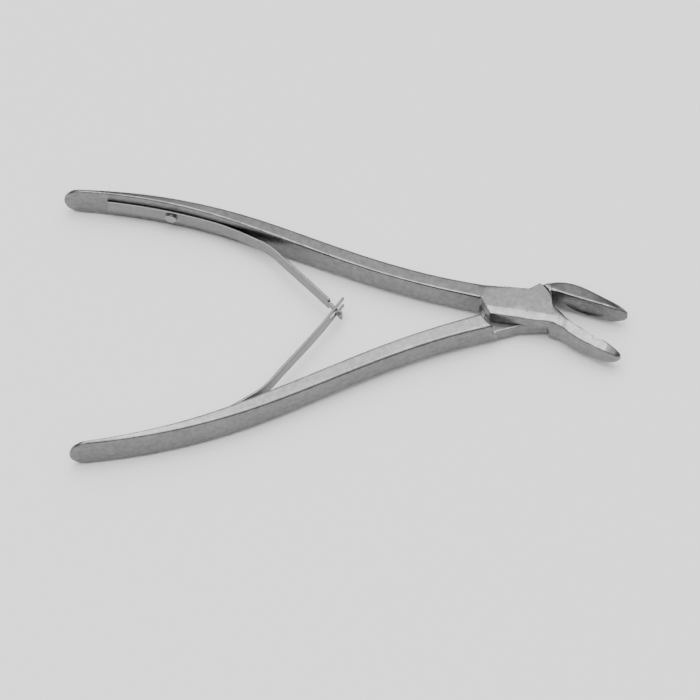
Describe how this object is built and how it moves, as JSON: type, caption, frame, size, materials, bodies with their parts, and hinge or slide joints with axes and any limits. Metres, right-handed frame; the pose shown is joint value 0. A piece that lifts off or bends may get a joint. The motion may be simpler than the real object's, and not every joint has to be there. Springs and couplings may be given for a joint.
{
  "type": "bone rongeur",
  "caption": "Single-pivot bone rongeur with side-angled cupped jaws, a lap joint, bowed handles and a pair of interlocking leaf springs.",
  "frame": {"origin": "pivot axis at the back face of the joint, on the flush end of the rivet", "axes": "+Z along the pivot axis out of the face shown, +X from the pivot towards the jaws, +Y towards the upper handle"},
  "size_m": [0.1606, 0.087, 0.0114],
  "materials": {
    "satin_steel": "satin forged stainless steel",
    "rivet_steel": "stainless rivet ground flush",
    "spring_steel": "tempered spring leaf, satin",
    "screw_steel": "small stainless screw"
  },
  "bodies": {
    "upper_half": {"upper_handle_lower_jaw": "satin_steel", "pivot_pin": "rivet_steel", "upper_leaf_spring": "spring_steel", "upper_spring_screw": "screw_steel"},
    "lower_half": {"lower_handle_upper_jaw": "satin_steel", "lower_leaf_spring": "spring_steel", "lower_spring_screw": "screw_steel"}
  },
  "joints": [
    {"name": "pivot", "type": "hinge", "parent": "upper_half", "child": "lower_half", "pos_m": [0, 0, 0.0044], "axis": [0, 0, -1], "range_deg": [0, 23.4], "stiffness_Nm_per_rad": 0.6, "springref_deg": -8.59, "deforming": ["upper_leaf_spring", "lower_leaf_spring"]}
  ]
}
